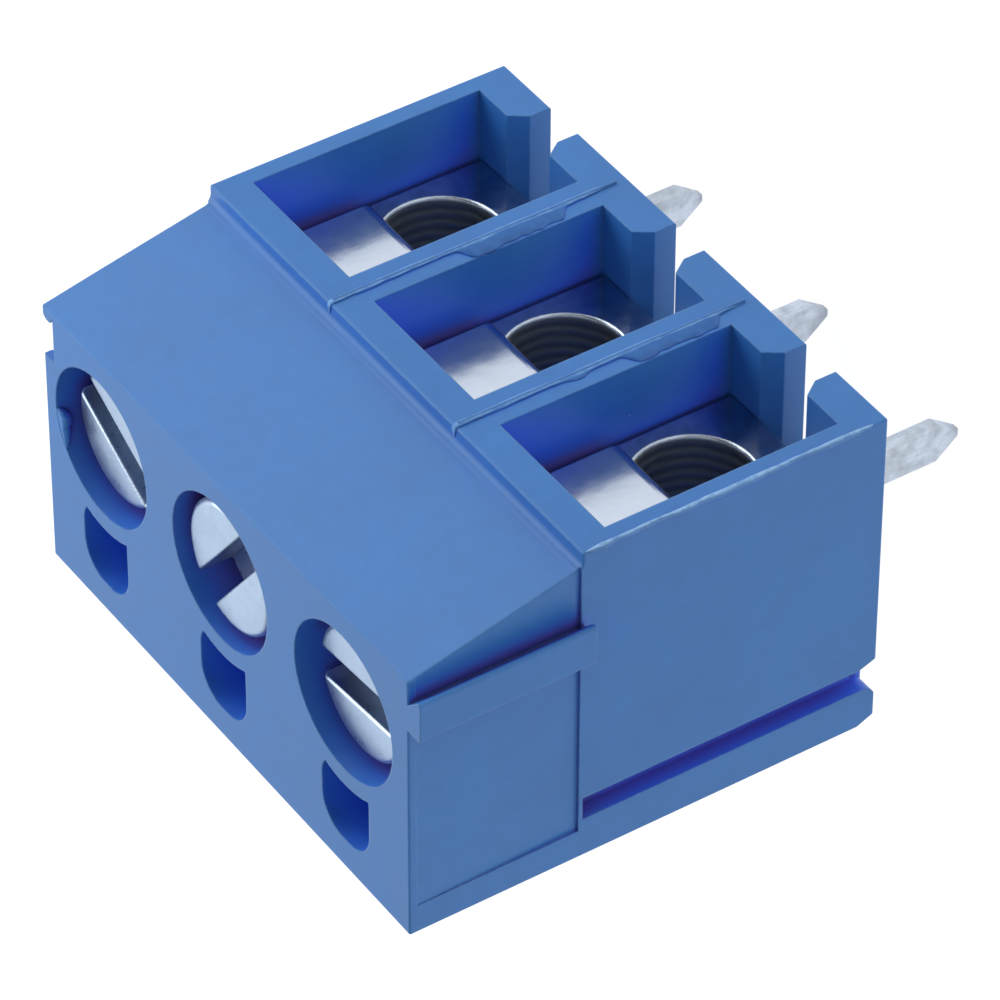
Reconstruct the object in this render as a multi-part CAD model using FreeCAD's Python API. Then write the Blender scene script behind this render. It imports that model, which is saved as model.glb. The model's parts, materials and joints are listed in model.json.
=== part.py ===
import FreeCAD, Part
import os

from FreeCAD import Placement, Rotation, Vector

# Three-pole screw terminal block for a circuit board, in millimetres.
# +Z is up from the board, the wire entries face -Y and the poles lie along X.
# The origin is the middle of the face that sits on the board.

# Poles
pole_count = 3
pole_pitch = 5.0

# Housing outline, seen from the end
housing_length = pole_count * pole_pitch - 0.05
housing_depth = 8.9
housing_height = 12.4
step_height = 7.95
slope_foot = 0.44
slope_top = 1.45
step_fillet_r = 0.25
edge_r = 0.05
back_bevel = (0.2, 0.44)

# Wire entry of one pole: a straight pocket that also takes the clamp body
entry_width = 4.0
entry_floor = 1.0
entry_roof = 7.1
pocket_depth = 6.2

# Notch under each entry, which lets the solder pin in
notch_width = 1.12
notch_end = 4.62
notch_lead = (0.3, 0.42)

# Screwdriver hole, a little to +X of the middle of its entry
access_r = 1.95
screw_line = 4.0
screw_shift = 0.1

# Coring pocket behind the hole, hollowed round it: its limits about the screw, the
# rounding of its corners from near -X, and the wall left round the hole
coring_x = (-0.98, 0.9)
coring_y = (6.0, 8.08)
coring_r = (0.3, 0.7, 0.85, 0.85)
coring_wall = 0.45
coring_depth = 4.0

# Interlock between neighbouring blocks: a hooked rib and groove, and a bar and slot
hook_proud = 0.47
hook_root_y = 2.08
hook_tip_y = 1.64
hook_under_y = 2.83
hook_foot = 7.9
hook_tip_r = 0.08
groove_y = (1.78, 2.87)
groove_depth = 0.44
groove_lip_r = 0.22
groove_nose = 0.32
groove_undercut = 0.18
bar_y = (7.2, 7.76)
bar_head = 7.85
bar_proud = 0.52
bar_r = 0.14
mouth_r = 0.36
mouth_bevel = (0.17, 0.44)
key_clearance = 0.04

# Panel sunk into each end of the upper part, deeper towards the wire entries
panel_z = (8.0, 12.2)
panel_back = 8.1
panel_sink = (0.08, 0.02)

# Seam ridges between the poles on the entry face
seam_width = 0.06
seam_proud = 0.06
seam_z = (0.3, 7.85)

# Clamp body
clamp_width = 3.9
clamp_front = 1.93
clamp_height = 6.05
clamp_edge_r = 0.12
bore_r = 1.45
bore_z = 3.35
bore_chamfer = 0.05
thread_hole_r = 1.5

# Wire guard
guard_gap = 0.05
guard_thickness = 0.3
guard_width = 3.2
guard_foot = 4.15
guard_head = 6.98
guard_bend_r = 0.35
leaf_width = 1.7
leaf_end = 5.5

# Clamp screw: an M3 cheese head with a straight slot
screw_length = 7.45
head_r = 1.66
head_height = 2.0
head_chamfer = 0.1
shank_r = 1.45
tip_chamfer = 0.5
slot_width = 0.8
slot_depth = 0.9

# How each screw stands at rest, from -X to +X: depth below the housing and turn of its slot
screw_sink = (0.45, 0.22, 0.42)
slot_turn = (5.0, 52.5, -29.0)

# Solder pin
pin_line = 3.9
pin_thickness = 0.35
pin_width = 1.05
pin_root = 0.5
pin_shoulder = -3.2
pin_tip = -3.85
pin_tip_size = 0.2

# Working allowances: how far a cutting shape runs past the face it opens, how far
# joined shapes run into each other, and the tolerance for picking edges
beyond = 1.0
into = 0.1
tiny = 1e-6

front = -housing_depth / 2
half_length = housing_length / 2
pole_x = [(i - (pole_count - 1) / 2) * pole_pitch for i in range(pole_count)]


def from_front(distance):
    """Y of a point this far behind the entry face."""
    return front + distance


def box(x, y, z):
    """Box between pairs of limits, with y counted from the entry face."""
    corner = Vector(x[0], from_front(y[0]), z[0])
    return Part.makeBox(x[1] - x[0], y[1] - y[0], z[1] - z[0], corner)


def centred(x, width):
    return (x - width / 2, x + width / 2)


def upright_cylinder(radius, x, y, z):
    """Cylinder along Z between the two heights in z."""
    return Part.makeCylinder(radius, z[1] - z[0], Vector(x, from_front(y), z[0]))


def drawn_back(outline, near, far):
    """Solid with this outline in X and Z, between two distances behind the entry face."""
    points = [Vector(x, from_front(near), z) for x, z in outline]
    face = Part.Face(Part.makePolygon(points + points[:1]))
    return face.extrude(Vector(0, far - near, 0))


def drawn_along(outline, x):
    """Solid with this outline in Y and Z, between the two limits in x."""
    points = [Vector(x[0], from_front(y), z) for y, z in outline]
    face = Part.Face(Part.makePolygon(points + points[:1]))
    return face.extrude(Vector(x[1] - x[0], 0, 0))


def edges_where(shape, test):
    """Edges whose middle point passes the test."""
    return [e for e in shape.Edges if test(e.CenterOfMass, e)]


def runs_along_x(edge):
    size = edge.BoundBox
    return size.YLength < tiny and size.ZLength < tiny


def runs_along_z(edge):
    size = edge.BoundBox
    return size.XLength < tiny and size.YLength < tiny


def housing_blank():
    """The end outline drawn out over the poles, with soft outer edges."""
    outline = [
        (0, 0),
        (housing_depth - back_bevel[0], 0),
        (housing_depth, back_bevel[1]),
        (housing_depth, housing_height),
        (slope_top, housing_height),
        (slope_foot, step_height),
        (0, step_height),
    ]
    blank = drawn_along(outline, (-half_length, half_length))
    inner_corner = edges_where(
        blank,
        lambda c, e: runs_along_x(e)
        and abs(c.y - from_front(slope_foot)) < tiny
        and abs(c.z - step_height) < tiny,
    )
    blank = blank.makeFillet(step_fillet_r, inner_corner)
    outer = edges_where(
        blank,
        lambda c, e: not runs_along_x(e)
        or c.z < tiny
        or c.z > housing_height - tiny
        or c.y < from_front(tiny),
    )
    return blank.makeFillet(edge_r, outer)


def entry_pocket(x):
    """One wire entry with its pin notch, whose inner corners are rounded."""
    pocket = box(
        centred(x, entry_width),
        (-beyond, pocket_depth),
        (entry_floor, entry_roof),
    )
    notch = box(
        centred(x, notch_width),
        (-beyond, notch_end),
        (-beyond, entry_floor + into),
    )
    for side in (-1, 1):
        edge = x + side * notch_width / 2
        outline = [
            (edge, entry_floor + into),
            (edge + side * notch_lead[0], entry_floor + into),
            (edge + side * notch_lead[0], entry_floor),
            (edge, entry_floor - notch_lead[1]),
        ]
        notch = notch.fuse(drawn_back(outline, -beyond, notch_end))
    return pocket.fuse(notch)


def coring_pocket(x):
    """Rounded pocket, hollowed on the side of the screwdriver hole at x."""
    z = (housing_height - coring_depth, housing_height + beyond)
    pocket = box((x + coring_x[0], x + coring_x[1]), coring_y, z)
    corners = [(side_x, side_y) for side_y in (0, 1) for side_x in (0, 1)]
    for (side_x, side_y), radius in zip(corners, coring_r):
        corner = Vector(x + coring_x[side_x], from_front(coring_y[side_y]), 0)
        edge = edges_where(
            pocket,
            lambda c, e: runs_along_z(e) and Vector(c.x, c.y, 0).isEqual(corner, tiny),
        )
        pocket = pocket.makeFillet(radius, edge)
    return pocket.cut(upright_cylinder(access_r + coring_wall, x, screw_line, z))


def hook():
    """Rib along Z by the screwdriver holes, hooked forward, standing out to -X."""
    tip = -half_length - hook_proud
    root = -half_length + panel_sink[0] + into
    rise = (hook_root_y - hook_tip_y) / hook_proud
    outline = [
        (root, hook_root_y + rise * (root + half_length)),
        (tip, hook_tip_y),
        (tip, hook_under_y),
        (root, hook_under_y),
    ]
    points = [Vector(x, from_front(y), hook_foot) for x, y in outline]
    face = Part.Face(Part.makePolygon(points + points[:1]))
    rib = face.extrude(Vector(0, 0, housing_height - hook_foot))
    soft = edges_where(rib, lambda c, e: runs_along_z(e) and abs(c.x - tip) < tiny)
    return rib.makeFillet(hook_tip_r, soft)


def hook_groove():
    """Groove at the +X end for a neighbour's rib, undercut behind a rounded lip."""
    z = (hook_foot - key_clearance, housing_height + beyond)
    groove = box((half_length - groove_depth, half_length + beyond), groove_y, z)
    outline = [
        (half_length - groove_depth, groove_y[0] - groove_undercut),
        (half_length - groove_nose, groove_y[0]),
        (half_length - groove_nose, groove_y[0] + into),
        (half_length - groove_depth, groove_y[0] + into),
    ]
    points = [Vector(x, from_front(y), z[0]) for x, y in outline]
    face = Part.Face(Part.makePolygon(points + points[:1]))
    groove = groove.fuse(face.extrude(Vector(0, 0, z[1] - z[0])))
    lip_x = (half_length - groove_lip_r, half_length + beyond)
    square = box(lip_x, (groove_y[0] - groove_lip_r, groove_y[0] + into), z)
    centre_x = half_length - groove_lip_r
    rounding = upright_cylinder(groove_lip_r, centre_x, groove_y[0] - groove_lip_r, z)
    return groove.fuse(square.cut(rounding))


def bar(x_face, grow):
    """Bar along Z near the back, standing out of x_face to +X."""
    tip = x_face + bar_proud + grow
    y = (bar_y[0] - grow, bar_y[1] + grow)
    solid = box((x_face - edge_r, tip), y, (-grow, bar_head + grow))
    soft = edges_where(solid, lambda c, e: runs_along_z(e) and abs(c.x - tip) < tiny)
    return solid.makeFillet(bar_r, soft)


def slot_mouth():
    """What opens the bar slot at the board face: its front lip bevelled, its back one round."""
    x = (-half_length - beyond, -half_length + bar_proud + key_clearance)
    middle = sum(bar_y) / 2
    lip = bar_y[0] - key_clearance
    outline = [
        (lip - mouth_bevel[0], -beyond),
        (lip - mouth_bevel[0], 0),
        (lip, mouth_bevel[1]),
        (middle, mouth_bevel[1]),
        (middle, -beyond),
    ]
    bevel = drawn_along(outline, x)
    lip = bar_y[1] + key_clearance
    square = box(x, (middle, lip + mouth_r), (-beyond, mouth_r))
    rounding = Part.makeCylinder(
        mouth_r,
        x[1] - x[0] + 2 * beyond,
        Vector(x[0] - beyond, from_front(lip + mouth_r), mouth_r),
        Vector(1, 0, 0),
    )
    return [bevel, square.cut(rounding)]


def end_panel(side):
    """Shallow sunk panel on the end at -X or +X."""
    face = side * half_length
    outline = [
        (face + side * beyond, panel_z[0]),
        (face - side * panel_sink[0], panel_z[0]),
        (face - side * panel_sink[1], panel_z[1]),
        (face + side * beyond, panel_z[1]),
    ]
    points = [Vector(x, from_front(-beyond), z) for x, z in outline]
    panel = Part.Face(Part.makePolygon(points + points[:1]))
    return panel.extrude(Vector(0, panel_back + beyond, 0))


def seam_ridge(x):
    """Thin ridge of moulding flash between two poles on the entry face."""
    return box(centred(x, seam_width), (-seam_proud, into), seam_z)


def housing():
    solid = housing_blank()
    for x in pole_x:
        screw_x = x + screw_shift
        hole_z = (entry_roof - into, housing_height + beyond)
        solid = solid.cut(entry_pocket(x))
        solid = solid.cut(upright_cylinder(access_r, screw_x, screw_line, hole_z))
        solid = solid.cut(coring_pocket(screw_x))
    for left, right in zip(pole_x, pole_x[1:]):
        solid = solid.fuse(seam_ridge((left + right) / 2))
    for side in (-1, 1):
        solid = solid.cut(end_panel(side))
    solid = solid.cut(hook_groove())
    solid = solid.cut(bar(-half_length, key_clearance))
    solid = solid.cut(slot_mouth())
    solid = solid.fuse(hook())
    solid = solid.fuse(bar(half_length, 0))
    return solid.removeSplitter()


def clamp_body(x):
    """Block with a drilled wire bore, a threaded hole above it and a slot for the pin."""
    depth = pocket_depth - clamp_front
    block = box(
        centred(x, clamp_width),
        (clamp_front, clamp_front + depth),
        (entry_floor, entry_floor + clamp_height),
    )
    block = block.makeFillet(clamp_edge_r, [e for e in block.Edges if runs_along_z(e)])
    start = Vector(x, from_front(clamp_front), bore_z)
    back = Vector(0, 1, 0)
    bore = Part.makeCylinder(bore_r, depth, start, back)
    rim = Part.makeCone(bore_r + bore_chamfer, bore_r, bore_chamfer, start, back)
    thread_z = (bore_z, entry_floor + clamp_height)
    thread = upright_cylinder(thread_hole_r, x + screw_shift, screw_line, thread_z)
    slot = box(
        centred(x, pin_thickness),
        centred(pin_line, pin_width),
        (entry_floor, entry_floor + pin_root),
    )
    return block.cut(bore).cut(rim).cut(thread).cut(slot)


def wire_guard(x):
    """L-shaped strip: a leg down the front of the clamp body and a leaf under the screw."""
    leg_front = clamp_front - guard_gap - guard_thickness
    leg = box(
        centred(x, guard_width),
        (leg_front, leg_front + guard_thickness),
        (guard_foot, guard_head),
    )
    leaf = box(
        centred(x, leaf_width),
        (leg_front, leaf_end),
        (guard_foot, guard_foot + guard_thickness),
    )
    strip = leg.fuse(leaf).removeSplitter()
    bend = edges_where(
        strip,
        lambda c, e: runs_along_x(e)
        and abs(c.y - from_front(leg_front)) < tiny
        and abs(c.z - guard_foot) < tiny,
    )
    return strip.makeFillet(guard_bend_r, bend)


def clamp_screw(x, sink, turn):
    """Slotted cheese-head screw, standing on its tip with its head up."""
    top = housing_height - sink
    tip = top - screw_length
    profile = [
        (0, tip),
        (shank_r - tip_chamfer, tip),
        (shank_r, tip + tip_chamfer),
        (shank_r, top - head_height),
        (head_r, top - head_height),
        (head_r, top - head_chamfer),
        (head_r - head_chamfer, top),
        (0, top),
    ]
    points = [Vector(r, 0, z) for r, z in profile]
    face = Part.Face(Part.makePolygon(points + points[:1]))
    screw = face.revolve(Vector(0, 0, 0), Vector(0, 0, 1), 360)
    slot_end = head_r + beyond
    slot = Part.makeBox(
        2 * slot_end,
        slot_width,
        slot_depth + beyond,
        Vector(-slot_end, -slot_width / 2, top - slot_depth),
    )
    screw = screw.cut(slot)
    screw.Placement = Placement(
        Vector(x + screw_shift, from_front(screw_line), 0),
        Rotation(Vector(0, 0, 1), turn),
    )
    return screw


def solder_pin(x):
    """Flat pin with a four-sided point."""

    def section(width_x, width_y, z):
        half_x, half_y = width_x / 2, width_y / 2
        corners = [
            (-half_x, -half_y),
            (half_x, -half_y),
            (half_x, half_y),
            (-half_x, half_y),
        ]
        points = [Vector(x + u, from_front(pin_line) + v, z) for u, v in corners]
        return Part.makePolygon(points + points[:1])

    blade = box(
        centred(x, pin_thickness),
        centred(pin_line, pin_width),
        (pin_shoulder, entry_floor + pin_root),
    )
    point = Part.makeLoft(
        [
            section(pin_thickness, pin_width, pin_shoulder),
            section(pin_tip_size, pin_tip_size, pin_tip),
        ],
        True,
        True,
    )
    return blade.fuse(point).removeSplitter()


os.makedirs("parts", exist_ok=True)
nodes = {"housing": housing()}
for number, x in enumerate(pole_x, start=1):
    nodes[f"clamp_body_{number}"] = clamp_body(x)
    nodes[f"solder_pin_{number}"] = solder_pin(x)
    nodes[f"wire_guard_{number}"] = wire_guard(x)
    sink = screw_sink[number - 1]
    turn = slot_turn[number - 1]
    nodes[f"clamp_screw_{number}"] = clamp_screw(x, sink, turn)

for name, shape in nodes.items():
    solids = shape.Solids
    if not shape.isValid() or len(solids) != 1:
        raise ValueError(f"{name} has {len(solids)} solids")
    solids[0].exportStep(f"parts/{name}.step")
    print(name, round(solids[0].Volume, 3))
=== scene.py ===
import json
import math

import bmesh
import bpy
from mathutils import Matrix, Vector, noise


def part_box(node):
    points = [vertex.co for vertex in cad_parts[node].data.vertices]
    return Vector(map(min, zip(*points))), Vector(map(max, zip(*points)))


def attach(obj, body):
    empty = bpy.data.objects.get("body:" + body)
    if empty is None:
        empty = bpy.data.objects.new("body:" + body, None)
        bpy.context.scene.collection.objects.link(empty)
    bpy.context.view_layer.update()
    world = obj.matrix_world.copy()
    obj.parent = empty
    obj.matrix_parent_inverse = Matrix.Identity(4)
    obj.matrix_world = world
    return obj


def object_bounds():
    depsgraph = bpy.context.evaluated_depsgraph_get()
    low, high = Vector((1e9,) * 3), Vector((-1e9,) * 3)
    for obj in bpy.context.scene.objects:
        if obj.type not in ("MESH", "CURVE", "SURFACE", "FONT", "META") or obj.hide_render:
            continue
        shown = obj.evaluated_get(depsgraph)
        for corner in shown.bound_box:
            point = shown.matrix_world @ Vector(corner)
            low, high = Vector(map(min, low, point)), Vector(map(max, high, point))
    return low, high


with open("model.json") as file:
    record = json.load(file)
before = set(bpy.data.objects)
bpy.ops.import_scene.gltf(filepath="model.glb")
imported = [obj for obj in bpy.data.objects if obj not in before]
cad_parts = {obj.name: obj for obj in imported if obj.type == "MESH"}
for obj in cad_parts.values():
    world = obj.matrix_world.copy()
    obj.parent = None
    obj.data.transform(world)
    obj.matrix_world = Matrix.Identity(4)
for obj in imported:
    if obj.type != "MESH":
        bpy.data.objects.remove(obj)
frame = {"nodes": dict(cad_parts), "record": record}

cad_low, cad_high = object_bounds()

MM = 0.001
X, Y, Z = Vector((1, 0, 0)), Vector((0, 1, 0)), Vector((0, 0, 1))
scene = bpy.context.scene


# ---------------------------------------------------------------- camera


def make_camera():
    """Long-lens camera, rolled so that the block lies on its back in the picture."""
    data = bpy.data.cameras.new("camera")
    data.sensor_width = 36
    data.lens = 254.92
    data.clip_start = 0.01
    data.clip_end = 10
    cam = bpy.data.objects.new("camera", data)
    scene.collection.objects.link(cam)
    right = Vector((-0.55443, -0.00272, -0.83222)).normalized()
    ahead = Vector((0.62441, 0.65974, -0.41815)).normalized()
    down = ahead.cross(right).normalized()
    right = down.cross(ahead).normalized()
    turn = Matrix((right, -down, -ahead)).transposed()
    place = Vector((-99.246, -103.972, 71.542)) * MM
    cam.matrix_world = Matrix.Translation(place) @ turn.to_4x4()
    scene.camera = cam


make_camera()


# ---------------------------------------------------------------- node helpers


class Nodes:
    """A material's node tree, with one-line ways to add to it."""

    def __init__(self, name):
        self.material = bpy.data.materials.new(name)
        self.material.use_nodes = True
        self.tree = self.material.node_tree
        self.shader = self.tree.nodes["Principled BSDF"]
        self.coordinates = None

    def add(self, kind, inputs=None, **settings):
        node = self.tree.nodes.new(kind)
        for key, value in settings.items():
            setattr(node, key, value)
        for key, value in (inputs or {}).items():
            self.feed(node.inputs[key], value)
        return node

    def feed(self, socket, value):
        if isinstance(value, bpy.types.NodeSocket):
            self.tree.links.new(value, socket)
        else:
            socket.default_value = value

    def math(self, operation, *values):
        node = self.add("ShaderNodeMath", operation=operation)
        for socket, value in zip(node.inputs, values):
            self.feed(socket, value)
        return node.outputs[0]

    def mix(self, factor, first, second):
        node = self.add("ShaderNodeMix", data_type="RGBA")
        self.feed(node.inputs[0], factor)
        self.feed(node.inputs[6], first)
        self.feed(node.inputs[7], second)
        return node.outputs[2]

    def ramp(self, factor, *stops):
        """Grey ramp from (position, value) pairs."""
        node = self.add("ShaderNodeValToRGB", {"Fac": factor})
        for element, (position, value) in zip(node.color_ramp.elements, stops):
            element.position = position
            element.color = (value, value, value, 1)
        return node.outputs["Color"]

    def place(self):
        """The piece's own coordinates, in metres."""
        if self.coordinates is None:
            self.coordinates = self.add("ShaderNodeTexCoord").outputs["Object"]
        return self.coordinates

    def split_place(self):
        return self.add("ShaderNodeSeparateXYZ", {0: self.place()}).outputs

    def stretch(self, scale):
        """The piece's coordinates with this many features to the metre along each axis."""
        inputs = {"Vector": self.place(), "Scale": scale}
        return self.add("ShaderNodeMapping", inputs).outputs[0]

    def noise(self, scale, detail, vector=None):
        """Noise with this many features to the metre, in the piece's own coordinates."""
        inputs = {"Scale": scale, "Detail": detail, "Vector": vector or self.place()}
        return self.add("ShaderNodeTexNoise", inputs).outputs["Fac"]

    def radius(self, first, second):
        """How far the point (first, second) is from the origin."""
        squares = [self.math("POWER", value, 2.0) for value in (first, second)]
        return self.math("SQRT", self.math("ADD", *squares))

    def bump(self, height, distance, strength, normal=None):
        inputs = {"Strength": strength, "Distance": distance * MM, "Height": height}
        node = self.add("ShaderNodeBump", inputs)
        if normal is not None:
            self.feed(node.inputs["Normal"], normal)
        return node.outputs["Normal"]


def colour(red, green, blue):
    return (red, green, blue, 1)


# ---------------------------------------------------------------- materials

# Features to the metre: of the three main grades of noise, of the noise that breaks up the lighter
# edges (wear and painted highlight), and of the noise that breaks up the painted light on flash
COARSE, MIDDLE, FINE = 350, 2200, 26000
FLAKES = 6000
CRUMBS = 5200


def edge_mask(n, radius):
    """A normal bevelled by this radius in mm, and 1 where a sharp edge is near."""
    rounded = n.add("ShaderNodeBevel", {"Radius": radius * MM}, samples=4).outputs[0]
    flat = n.add("ShaderNodeNewGeometry").outputs["Normal"]
    inputs = {0: rounded, 1: flat}
    both = n.add("ShaderNodeVectorMath", inputs, operation="DOT_PRODUCT").outputs["Value"]
    return rounded, n.ramp(both, (0.80, 1.0), (0.995, 0.0))


def openness(n, reach):
    """1 on open faces, down to 0 deep in corners and holes, looking this far in mm."""
    inputs = {"Distance": reach * MM}
    return n.add("ShaderNodeAmbientOcclusion", inputs, samples=6).outputs["AO"]


def specks(n, scale, size, share):
    """Sparse dust: 1 inside a speck, which this share of the cells hold."""
    cells = n.add("ShaderNodeTexVoronoi", {"Scale": scale, "Vector": n.place()}).outputs
    near = n.math("LESS_THAN", cells["Distance"], size)
    draw = n.add("ShaderNodeSeparateColor", {0: cells["Color"]}).outputs[0]
    return n.math("MULTIPLY", near, n.math("LESS_THAN", draw, share))


# What the housing's blue turns to: bluer in hollows as painted bounced light, violet in narrow
# corners and darker in creases as painted shade, darker on one side of flash as a painted shadow,
# and paler under real dust
PAINTED_BOUNCE_BLUE = colour(0.031, 0.13, 0.8)
PAINTED_CORNER_VIOLET = colour(0.10, 0.055, 0.27)
PAINTED_CREASE_SHADE = colour(0.02, 0.06, 0.26)
PAINTED_FLASH_SHADOW = colour(0.012, 0.06, 0.24)
DUST = colour(0.5, 0.62, 0.8)

# On the front half the painted hollow shade sets in between these heights, above the notches
PAINTED_SHADE_NONE, PAINTED_SHADE_FULL = 1.0 * MM, 1.4 * MM
# Height that stands at the far end of the ramp between them
RAMP_TOP = 4 * MM
# The wire entries lie below this height, and their painted shade is deeper by this share
ENTRY_TOP, ENTRY_SHADE = 7.3 * MM, 0.2


def painted_hollow_shade(n, tint):
    """Paints light and shade in hollows: bluer where light that reaches the eye has bounced off
    blue, and violet as painted shade in narrow corners.
    """
    open_sky = openness(n, 2.2)
    place = n.split_place()
    height = n.math("DIVIDE", place[2], RAMP_TOP)
    above = n.ramp(height, (PAINTED_SHADE_NONE / RAMP_TOP, 0.0), (PAINTED_SHADE_FULL / RAMP_TOP, 1.0))
    inner = n.math("MAXIMUM", above, n.math("GREATER_THAN", place[1], 0.0))
    entries = n.math("MULTIPLY", n.math("LESS_THAN", place[2], ENTRY_TOP), ENTRY_SHADE)
    shaded = n.math("SUBTRACT", open_sky, entries)
    bluer = n.math("MULTIPLY", inner, n.ramp(shaded, (0.3, 0.95), (0.72, 0.0)))
    # Painted bounced light: bluer deep in hollows
    tint = n.mix(bluer, tint, PAINTED_BOUNCE_BLUE)
    # Painted shade: violet in narrow corners
    narrow = n.ramp(openness(n, 1.3), (0.22, 0.95), (0.5, 0.0))
    return n.mix(n.math("MULTIPLY", inner, narrow), tint, PAINTED_CORNER_VIOLET)


def painted_flash_light(n, tint, wear_and_highlight):
    """Paints light and shadow on flash from a shade attribute of its mesh, in patches: a painted
    highlight in the paler colour, a painted shadow in darker blue.
    """
    painted_light = n.add("ShaderNodeAttribute", attribute_name="painted_light").outputs["Fac"]
    patches = n.ramp(n.noise(CRUMBS, 3), (0.35, 0.35), (0.6, 1.0))
    painted_light = n.math("MULTIPLY", painted_light, patches)
    # Painted highlight where the attribute is above 0
    tint = n.mix(n.math("MAXIMUM", painted_light, 0.0), tint, wear_and_highlight)
    # Painted shadow where it is below 0
    painted_shadow = n.math("MAXIMUM", n.math("MULTIPLY", painted_light, -1.0), 0.0)
    return n.mix(painted_shadow, tint, PAINTED_FLASH_SHADOW)


def plastic(name, base, wear_and_highlight, fade):
    """Moulded plastic with dust, with painted shade and painted bounced light in its corners,
    edges that are lighter from wear and from a painted highlight, and painted light and shadow on
    flash.
    """
    n = Nodes(name)
    wear_and_highlight = colour(*wear_and_highlight)
    coarse, middle, fine = n.noise(COARSE, 3), n.noise(MIDDLE, 4), n.noise(FINE, 2)
    rounded, edge = edge_mask(n, 0.06)
    mottle = n.math("ADD", n.math("MULTIPLY", coarse, 0.6), n.math("MULTIPLY", middle, 0.4))
    darker = colour(*[c * (1 - fade) for c in base])
    lighter = colour(*[c * (1 + fade) for c in base])
    tint = n.mix(n.ramp(mottle, (0.35, 0.0), (0.65, 1.0)), darker, lighter)
    tint = painted_hollow_shade(n, tint)
    # Lighter on sharp edges, in flakes: partly wear, partly a painted edge highlight
    flakes = n.ramp(n.noise(FLAKES, 3), (0.4, 0.15), (0.7, 0.8))
    tint = n.mix(n.math("MULTIPLY", edge, flakes), tint, wear_and_highlight)
    tint = painted_flash_light(n, tint, wear_and_highlight)
    tint = n.mix(n.math("MULTIPLY", specks(n, 620, 0.02, 0.16), 0.7), tint, DUST)
    # Painted shade in creases
    tint = n.mix(n.ramp(openness(n, 0.13), (0.3, 0.75), (0.75, 0.0)), tint, PAINTED_CREASE_SHADE)
    roughness = n.math("ADD", n.math("MULTIPLY", mottle, 0.22), 0.30)
    normal = n.bump(coarse, 0.04, 0.3, rounded)
    normal = n.bump(middle, 0.006, 0.35, normal)
    normal = n.bump(fine, 0.0015, 0.3, normal)
    n.shader.inputs["Specular IOR Level"].default_value = 0.37
    n.feed(n.shader.inputs["Base Color"], tint)
    n.feed(n.shader.inputs["Roughness"], roughness)
    n.feed(n.shader.inputs["Normal"], normal)
    return n.material


# Near-white colour of sharp metal edges: partly worn plating, partly a painted edge highlight
BRIGHT_EDGE = colour(0.93, 0.95, 0.97)
PALE_DUST = colour(0.9, 0.92, 0.95)


def metal(name, base, rough, spread, painted_shade_colour, painted_shade_strength=0.5, dull=0.0, grain=None, edge_radius=0.05,
          smudge=0.5, streaks=0.25, bore=None, rings=None):
    """Plated metal with smudges, a fine grain, pale edges and painted shade in hollows.

    The pale edges are partly worn plating and partly a painted edge highlight. rough and spread
    give the roughness; the next two arguments give the colour and the strength of the painted
    shade in hollows, and dull how much less metallic the hollows are."""
    n = Nodes(name)
    base_colour, stained, streaked = [colour(*[c * k for c in base]) for k in (1, 0.45, 0.7)]
    coarse, middle = n.noise(COARSE * 2, 3), n.noise(MIDDLE * 1.5, 4)
    rounded, edge = edge_mask(n, edge_radius)
    lines = n.noise(1, 3, n.stretch(grain)) if grain else n.noise(FINE, 3)
    stain = n.ramp(n.math("MULTIPLY", coarse, middle), (0.12, smudge), (0.3, 0.0))
    tint = n.mix(stain, base_colour, stained)
    tint = n.mix(n.ramp(lines, (0.35, streaks), (0.6, 0.0)), tint, streaked)
    open_sky = openness(n, 0.9)
    # Painted shade in hollows
    tint = n.mix(n.ramp(open_sky, (0.1, painted_shade_strength), (0.6, 0.0)), tint, colour(*painted_shade_colour))
    # Pale sharp edges: partly worn plating, partly a painted edge highlight
    tint = n.mix(n.math("MULTIPLY", edge, 0.7), tint, BRIGHT_EDGE)
    tint = n.mix(n.math("MULTIPLY", specks(n, 900, 0.03, 0.12), 0.8), tint, PALE_DUST)
    roughness = n.math("ADD", n.math("MULTIPLY", middle, spread), rough - spread / 2)
    normal = n.bump(coarse, 0.03, 0.5, rounded)
    if bore:
        inside, turns = bore(n)
        tint = n.mix(inside, tint, n.mix(turns, BORE_DARK, BORE_LIGHT))
        roughness = n.math("MAXIMUM", roughness, n.math("MULTIPLY", inside, BORE_ROUGH))
        normal = n.bump(n.math("MULTIPLY", inside, turns), 0.02, 0.6, normal)
    normal = n.bump(lines, 0.002, 0.5, normal)
    if rings:
        normal = n.bump(rings(n), 0.002, 0.2, normal)
    n.shader.inputs["Metallic"].default_value = 1
    if dull:
        metallic = n.ramp(open_sky, (0.3, 1 - dull), (0.75, 1.0))
        n.feed(n.shader.inputs["Metallic"], metallic)
    n.feed(n.shader.inputs["Base Color"], tint)
    n.feed(n.shader.inputs["Roughness"], roughness)
    n.feed(n.shader.inputs["Normal"], normal)
    return n.material


def across_pole(n, x, middle, spacing):
    """How far x is from the middle of its own pole, for poles at this spacing."""
    return n.math("WRAP", n.math("SUBTRACT", x, middle), spacing / 2, -spacing / 2)


def wave(n, distance, length, sway):
    """Sine of a distance in waves of this length in mm, swayed by noise."""
    phase = n.math("MULTIPLY", distance, 2 * math.pi / (length * MM))
    return n.math("SINE", n.math("ADD", phase, n.math("MULTIPLY", n.noise(MIDDLE, 3), sway)))


def lathe_rings(n):
    """Rings round the nearest screw, as the lathe leaves them."""
    low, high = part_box("clamp_screw_2")
    middle = (low + high) / 2
    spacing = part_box("clamp_screw_3")[0].x - low.x
    place = n.split_place()
    x = across_pole(n, place[0], middle.x, spacing)
    return wave(n, n.radius(x, n.math("SUBTRACT", place[1], middle.y)), 0.09, 2.0)


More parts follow.
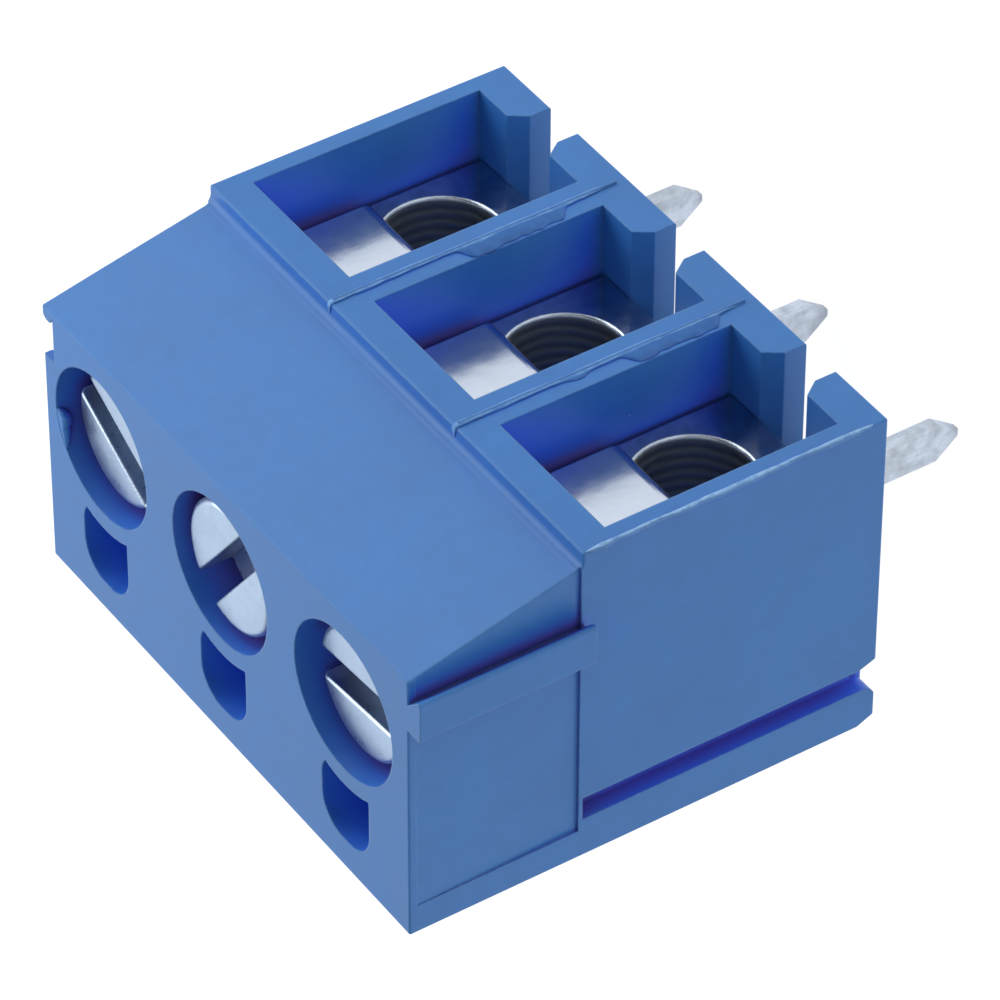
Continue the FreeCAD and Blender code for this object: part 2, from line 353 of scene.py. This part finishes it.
# The wire bore in a clamp body: its middle's height over the body's foot, a radius just past
# its wall, and what its wall looks like
BORE_HEIGHT = 2.35 * MM
BORE_REACH = 1.465 * MM
BORE_DARK = colour(0.4, 0.44, 0.44)
BORE_LIGHT = colour(0.66, 0.7, 0.66)
BORE_ROUGH = 0.42


def wire_bore(n):
    """1 on the wall of the nearest wire bore, and the turns that the drill leaves on it."""
    low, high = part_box("clamp_body_2")
    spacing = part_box("clamp_body_3")[0].x - low.x
    place = n.split_place()
    x = across_pole(n, place[0], (low.x + high.x) / 2, spacing)
    z = n.math("SUBTRACT", place[2], low.z + BORE_HEIGHT)
    inside = n.math("LESS_THAN", n.radius(x, z), BORE_REACH)
    turns = n.math("MULTIPLY", wave(n, place[1], 0.3, 2.5), 0.5)
    return inside, n.math("ADD", turns, 0.5)


# Colour of the painted shade in the hollows of the guard and the pins
painted_navy_shade = (0.02, 0.05, 0.12)
# The fifth argument to each metal is the colour of its painted shade in hollows
looks = {
    "housing": plastic("blue_plastic", (0.030, 0.157, 0.447), (0.15, 0.33, 0.58), 0.07),
    "clamp_body": metal(
        "clamp_plating", (0.50, 0.58, 0.68), 0.15, 0.1, (0.4, 0.42, 0.36), bore=wire_bore,
    ),
    "wire_guard": metal(
        "guard_tin", (0.56, 0.63, 0.74), 0.2, 0.1, painted_navy_shade,
        grain=(9000, 1500, 1500), smudge=0.12, streaks=0.08,
    ),
    "clamp_screw": metal(
        "screw_plating", (0.45, 0.555, 0.70), 0.3, 0.16, (0.3, 0.43, 0.62),
        painted_shade_strength=0.3, dull=0.6, edge_radius=0.07, smudge=0.25, rings=lathe_rings,
    ),
    "solder_pin": metal(
        "pin_tin", (0.58, 0.65, 0.75), 0.3, 0.16, painted_navy_shade, grain=(14000, 14000, 900), smudge=0.7,
    ),
}
# Paler plastics for the flash: their paler colours paint a highlight on the flash's crests and
# edges
flash_plastic = plastic("flash_plastic", (0.033, 0.163, 0.455), (0.17, 0.37, 0.68), 0.1)
highlit_edge_plastic = plastic("highlit_edge_plastic", (0.06, 0.21, 0.5), (0.26, 0.45, 0.72), 0.2)

# How wide a bevel each kind of metal piece gets, in mm
edge_width = {"clamp_body": 0.03, "wire_guard": 0.03, "clamp_screw": 0.06, "solder_pin": 0.03}


def smooth_group():
    group = bpy.data.node_groups.new("shade_smooth", "GeometryNodeTree")
    for way in ("INPUT", "OUTPUT"):
        group.interface.new_socket("Geometry", in_out=way, socket_type="NodeSocketGeometry")
    start = group.nodes.new("NodeGroupInput")
    smooth = group.nodes.new("GeometryNodeSetShadeSmooth")
    end = group.nodes.new("NodeGroupOutput")
    group.links.new(start.outputs[0], smooth.inputs["Geometry"])
    group.links.new(smooth.outputs[0], end.inputs[0])
    return group


shade_smooth = smooth_group()


def soften(node, width):
    """Joins the node's faces, rounds its sharp edges and shades it smooth, by modifiers."""
    weld = node.modifiers.new("join", "WELD")
    weld.merge_threshold = 0.0005 * MM
    flat = node.modifiers.new("flat", "DECIMATE")
    flat.decimate_type = "DISSOLVE"
    flat.angle_limit = math.radians(0.5)
    bevel = node.modifiers.new("edges", "BEVEL")
    bevel.width = width * MM
    bevel.segments = 2
    bevel.limit_method = "ANGLE"
    bevel.angle_limit = math.radians(40)
    bevel.use_clamp_overlap = False
    smooth = node.modifiers.new("smooth", "NODES")
    smooth.node_group = shade_smooth
    even = node.modifiers.new("normals", "WEIGHTED_NORMAL")
    even.weight = 100


# The housing has its small radii in its mesh, so only the metal pieces are softened
for name, node in frame["nodes"].items():
    stem = next(stem for stem in looks if name.startswith(stem))
    node.data.materials.clear()
    node.data.materials.append(looks[stem])
    if stem in edge_width:
        soften(node, edge_width[stem])


# ---------------------------------------------------------------- moulding flash

housing_low, housing_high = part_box("housing")
pitch = frame["record"]["mounts"][1]["dims"]["spacing_x_mm"] * MM
# The entry face, which the housing's seam ridges stand 0.06 mm proud of
FACE = housing_low.y + 0.06 * MM
# Height of the step at the head of the entry face
STEP = 7.95 * MM
# Radius of a rim tab's foot, just past the rim of a screwdriver hole
RIM = 1.96 * MM
# Distances between the sections of the two kinds of flash on the entry face
SEAM_PACE = 0.07 * MM
EDGE_PACE = 0.072 * MM


def wander(t, seed, scale):
    """Smooth noise along a path, from -1 to 1, the same at each run."""
    return noise.noise(Vector((t / (scale * MM), seed * 7.3, 0.5)))


def smooth_step(t):
    t = min(1.0, max(0.0, t))
    return t * t * (3 - 2 * t)


def plateau(t, start, end, rise=0.35):
    """1 between start and end (mm), falling smoothly to 0 outside them."""
    return smooth_step((t - start) / rise) * smooth_step((end - t) / rise)


def sweep(name, rings, material, painted_light=None):
    """Closed solid through rings of as many points each, riding on the base.

    The last argument gives each point round a ring a painted shade, from -1 (painted shadow) to 1
    (painted highlight)."""
    mesh = bpy.data.meshes.new(name)
    bm = bmesh.new()
    rows = [[bm.verts.new(p) for p in ring] for ring in rings]
    for row, after in zip(rows, rows[1:]):
        for i in range(len(row)):
            j = (i + 1) % len(row)
            bm.faces.new((row[i], row[j], after[j], after[i]))
    bm.faces.new(list(reversed(rows[0])))
    bm.faces.new(rows[-1])
    bmesh.ops.recalc_face_normals(bm, faces=bm.faces)
    for face in bm.faces:
        face.smooth = True
    bm.to_mesh(mesh)
    bm.free()
    mesh.materials.append(material)
    if painted_light:
        shade = mesh.attributes.new("painted_light", "FLOAT", "POINT")
        shade.data.foreach_set("value", list(painted_light) * len(rings))
    piece = bpy.data.objects.new(name, mesh)
    scene.collection.objects.link(piece)
    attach(piece, "base")


def ridge_ring(centre, up, left, right, height, film=0.0):
    """One section of a low ridge across X, in mm, with a thinner film to its left."""
    sink = 0.03
    profile = [
        (-left - film, -sink),
        (-1.02 * left - film, 0.3 * height),
        (-0.97 * left - film, 0.5 * height),
        (-0.95 * left, 0.6 * height),
        (-0.8 * left, height),
        (0, 0.97 * height),
        (0.5 * right, 0.75 * height),
        (right, -sink),
    ]
    return [centre + X * (a * MM) + up * (h * MM) for a, h in profile]


# Painted light round a flash ridge's section, point by point: painted shadow at its feet and up
# its -X side, a painted highlight on its crest
RIDGE_PAINTED_LIGHT = (-0.8, -0.9, -0.5, -0.1, 0.7, 1.0, 0.5, -0.3)


def seam_path(x):
    """Points and outward directions from the step's top, over its edge and down the face."""
    path = [(Vector((x, FACE + d * MM, STEP)), Z) for d in (0.34, 0.26, 0.18, 0.1)]
    corner = Vector((x, FACE + 0.02 * MM, STEP - 0.02 * MM))
    path.append((corner, (Z - Y).normalized()))
    z, foot = STEP - 0.09 * MM, 0.3 * MM
    while z > foot:
        path.append((Vector((x, FACE, z)), -Y))
        z -= SEAM_PACE
    return path


def seam_flash(name, x, seed, films):
    """Wavy flash down the seam between two poles, over the step and down the entry face.

    films gives stretches of height, in mm, where it spreads over the wall to the entry."""
    path = seam_path(x)
    # On the entry face it stays just under the housing's own ridge, and so in the CAD box
    tallest = 0.059
    rings = []
    for i, (centre, up) in enumerate(path):
        t = i * SEAM_PACE
        end = min(1.0, i / 4, (len(path) - 1 - i) / 8)
        film = sum(width * plateau(centre.z / MM, low, high) for low, high, width in films)
        film *= 1 + 0.22 * wander(t, seed + 2, 0.6) + 0.14 * wander(t, seed + 3, 0.2)
        left = 0.095 + 0.03 * wander(t, seed, 0.7) + 0.02 * wander(t, seed + 1, 0.2)
        right = 0.12 + 0.035 * wander(t, seed + 4, 0.8) + 0.015 * wander(t, seed + 5, 0.22)
        rise = 0.052 + 0.008 * wander(t, seed + 6, 0.7)
        if up == -Y:
            rise = min(rise, tallest)
        middle = centre + X * (0.03 * wander(t, seed + 7, 1.6) * MM)
        narrow = 0.3 + 0.7 * end
        rings.append(ridge_ring(middle, up, left * narrow, right * narrow, rise * end, film * end))
    sweep(name, rings, flash_plastic, RIDGE_PAINTED_LIGHT)


def edge_flash(name, seed):
    """Flash along the edge between the entry face and the -X end, in a paler plastic that paints a
    highlight on it.
    """
    x = -3 * pitch / 2 + 0.075 * MM
    steps = 105
    rings = []
    for i in range(steps):
        t = i * EDGE_PACE
        end = min(1.0, i / 5, (steps - 1 - i) / 6)
        left = 0.095 + 0.055 * wander(t, seed, 0.8) + 0.035 * wander(t, seed + 1, 0.2)
        right = 0.05 + 0.04 * wander(t, seed + 2, 0.7) + 0.04 * wander(t, seed + 3, 0.2)
        rise = 0.045 + 0.014 * wander(t, seed + 4, 0.4)
        centre = Vector((x, FACE, STEP - 0.08 * MM - t))
        narrow = 0.3 + 0.7 * end
        rings.append(ridge_ring(centre, -Y, left * narrow, right * narrow, rise * end))
    sweep(name, rings, highlit_edge_plastic, [max(0.0, shade) for shade in RIDGE_PAINTED_LIGHT])


def rim_tab(name, screw, start, end, reaches, thickness, seed):
    """Torn flash standing in from the rim of a screwdriver hole, between two angles.

    reaches gives how far it stands in, in mm, at even steps of the angle."""
    low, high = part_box(screw)
    centre = (low + high) / 2
    foot_z = housing_high.z - 0.004 * MM
    steps = 34
    rings = []
    for i in range(steps):
        share = i / (steps - 1)
        angle = math.radians(start + (end - start) * share)
        out = Vector((math.cos(angle), math.sin(angle), 0))
        at = share * (len(reaches) - 1)
        step = min(int(at), len(reaches) - 2)
        reach = reaches[step] + (reaches[step + 1] - reaches[step]) * smooth_step(at - step)
        reach = max(0.004, reach * (1 + 0.12 * wander(share * MM, seed, 0.12)))
        foot = Vector((centre.x, centre.y, foot_z)) + out * RIM
        thick = thickness * min(1.0, 0.2 + 3 * reach)
        profile = [
            (-0.03, -thick),
            (0.7 * reach, -0.85 * thick),
            (0.95 * reach, -0.5 * thick),
            (reach, -0.2 * thick),
            (0.93 * reach, -0.04),
            (0.8 * reach, 0),
            (-0.03, 0),
        ]
        rings.append([foot - out * (a * MM) + Z * (h * MM) for a, h in profile])
    sweep(name, rings, looks["housing"])


seam_flash("seam_flash_1", -pitch / 2, 11, [(1.0, 3.7, 0.34), (4.4, 5.2, 0.1)])
seam_flash("seam_flash_2", pitch / 2, 23, [(1.7, 4.7, 0.36)])
edge_flash("edge_flash", 41)
tab_reaches = [0, 0.2, 0.3, 0.28, 0.22, 0.2, 0.16, 0.1, 0]
rim_tab("rim_tab_3", "clamp_screw_3", 5, 37, tab_reaches, 0.3, 3)


# ---------------------------------------------------------------- stage and light


def make_stage():
    """White floor that turns up into a low backdrop all round, evenly lit from within."""
    around = 96
    outline = [(0.68, 0), (0.72, 0.003), (0.75, 0.012), (0.77, 0.03), (0.78, 0.07)]
    turns = [2 * math.pi * i / around for i in range(around)]
    corners = [
        (radius * math.cos(turn), radius * math.sin(turn), cad_low.z + height)
        for radius, height in outline
        for turn in turns
    ]
    faces = [tuple(range(around))]
    for start in range(0, around * (len(outline) - 1), around):
        for i in range(around):
            j = (i + 1) % around
            faces.append((start + i, start + j, start + around + j, start + around + i))
    mesh = bpy.data.meshes.new("floor")
    mesh.from_pydata(corners, [], faces)
    floor = bpy.data.objects.new("floor", mesh)
    scene.collection.objects.link(floor)
    n = Nodes("white_floor")
    n.shader.inputs["Base Color"].default_value = colour(0.15, 0.15, 0.15)
    n.shader.inputs["Roughness"].default_value = 0.9
    n.shader.inputs["Emission Color"].default_value = colour(1, 1, 1)
    n.shader.inputs["Emission Strength"].default_value = 0.95
    mesh.materials.append(n.material)


def make_world():
    world = bpy.data.worlds.new("studio")
    scene.world = world
    world.use_nodes = True
    background = world.node_tree.nodes["Background"]
    background.inputs["Color"].default_value = colour(0.97, 0.98, 1)
    background.inputs["Strength"].default_value = 0.15


def area_light(name, direction, distance, size, radiance, tint=(1, 1, 1)):
    """Round soft light of this radiance, aimed at the block."""
    data = bpy.data.lights.new(name, "AREA")
    data.shape = "DISK"
    data.size = size
    data.energy = radiance * math.pi * math.pi * (size / 2) ** 2
    data.color = tint
    lamp = bpy.data.objects.new(name, data)
    scene.collection.objects.link(lamp)
    d = Vector(direction).normalized()
    lamp.location = d * distance
    lamp.visible_camera = False
    lamp.rotation_mode = "QUATERNION"
    lamp.rotation_quaternion = (-d).to_track_quat("-Z", "Y")


make_stage()
make_world()
area_light("key", (0.62, -0.76, 0.08), 0.3, 0.2, 4.1, (1.0, 0.985, 0.94))
area_light("top", (0.55, -0.2, 0.81), 0.07, 0.066, 3.3)
area_light("back", (0.62, 0.66, 0.42), 0.3, 0.36, 1.05, (0.87, 0.93, 1.0))
area_light("side", (-0.62, -0.5, 0.6), 0.3, 0.28, 0.7)
area_light("fill", (-0.62, 0.66, 0.42), 0.3, 0.3, 0.7, (0.85, 0.93, 1.0))

scene.view_settings.view_transform = "Standard"
